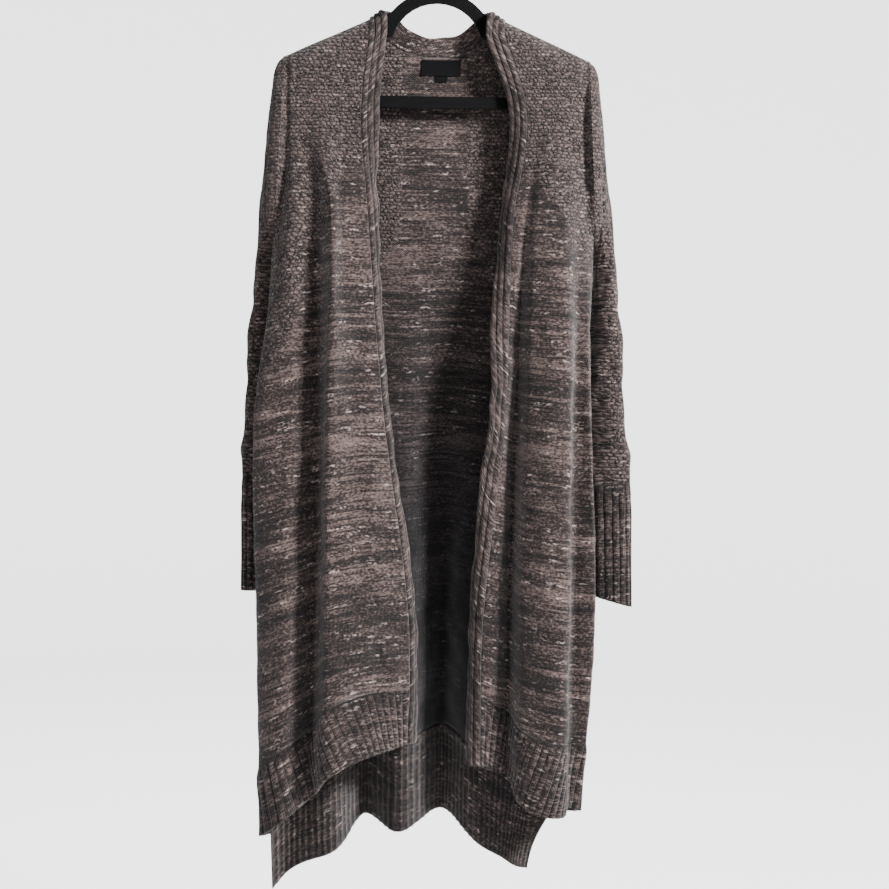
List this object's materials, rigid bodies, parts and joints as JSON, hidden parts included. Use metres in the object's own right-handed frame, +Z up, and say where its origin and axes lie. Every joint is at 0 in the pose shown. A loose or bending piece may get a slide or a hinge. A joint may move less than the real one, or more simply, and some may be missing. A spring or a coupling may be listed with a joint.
{
  "type": "duster cardigan on a hanger",
  "caption": "Long open-front knitted duster cardigan with ribbed bands, cuffs and stepped hem, hanging on a flat hanger with a trouser bar.",
  "frame": {"origin": "the inside top of the hanger's hook, where the rail carries it", "axes": "+Z up, the open front faces -Y, +X to the viewer's right (the wearer's left)"},
  "size_m": [0.541, 0.1324, 1.3014],
  "materials": {
    "knit": "marled charcoal, grey-brown and cream knit",
    "rib": "marled ribbed knit",
    "label": "woven black tape, plain",
    "hanger": "black flocked",
    "hook": "polished steel wire"
  },
  "bodies": {
    "root": {"front_right": "knit", "front_left": "knit", "back": "knit", "sleeve_right": "knit", "sleeve_left": "knit", "hem_front_right": "rib", "hem_front_left": "rib", "hem_back": "rib", "band_right": "rib", "band_left": "rib", "collar": "rib", "cuff_right": "rib", "cuff_left": "rib", "neck_label": "label", "size_tab": "label", "hanger": "hanger", "hook": "hook"}
  },
  "joints": []
}
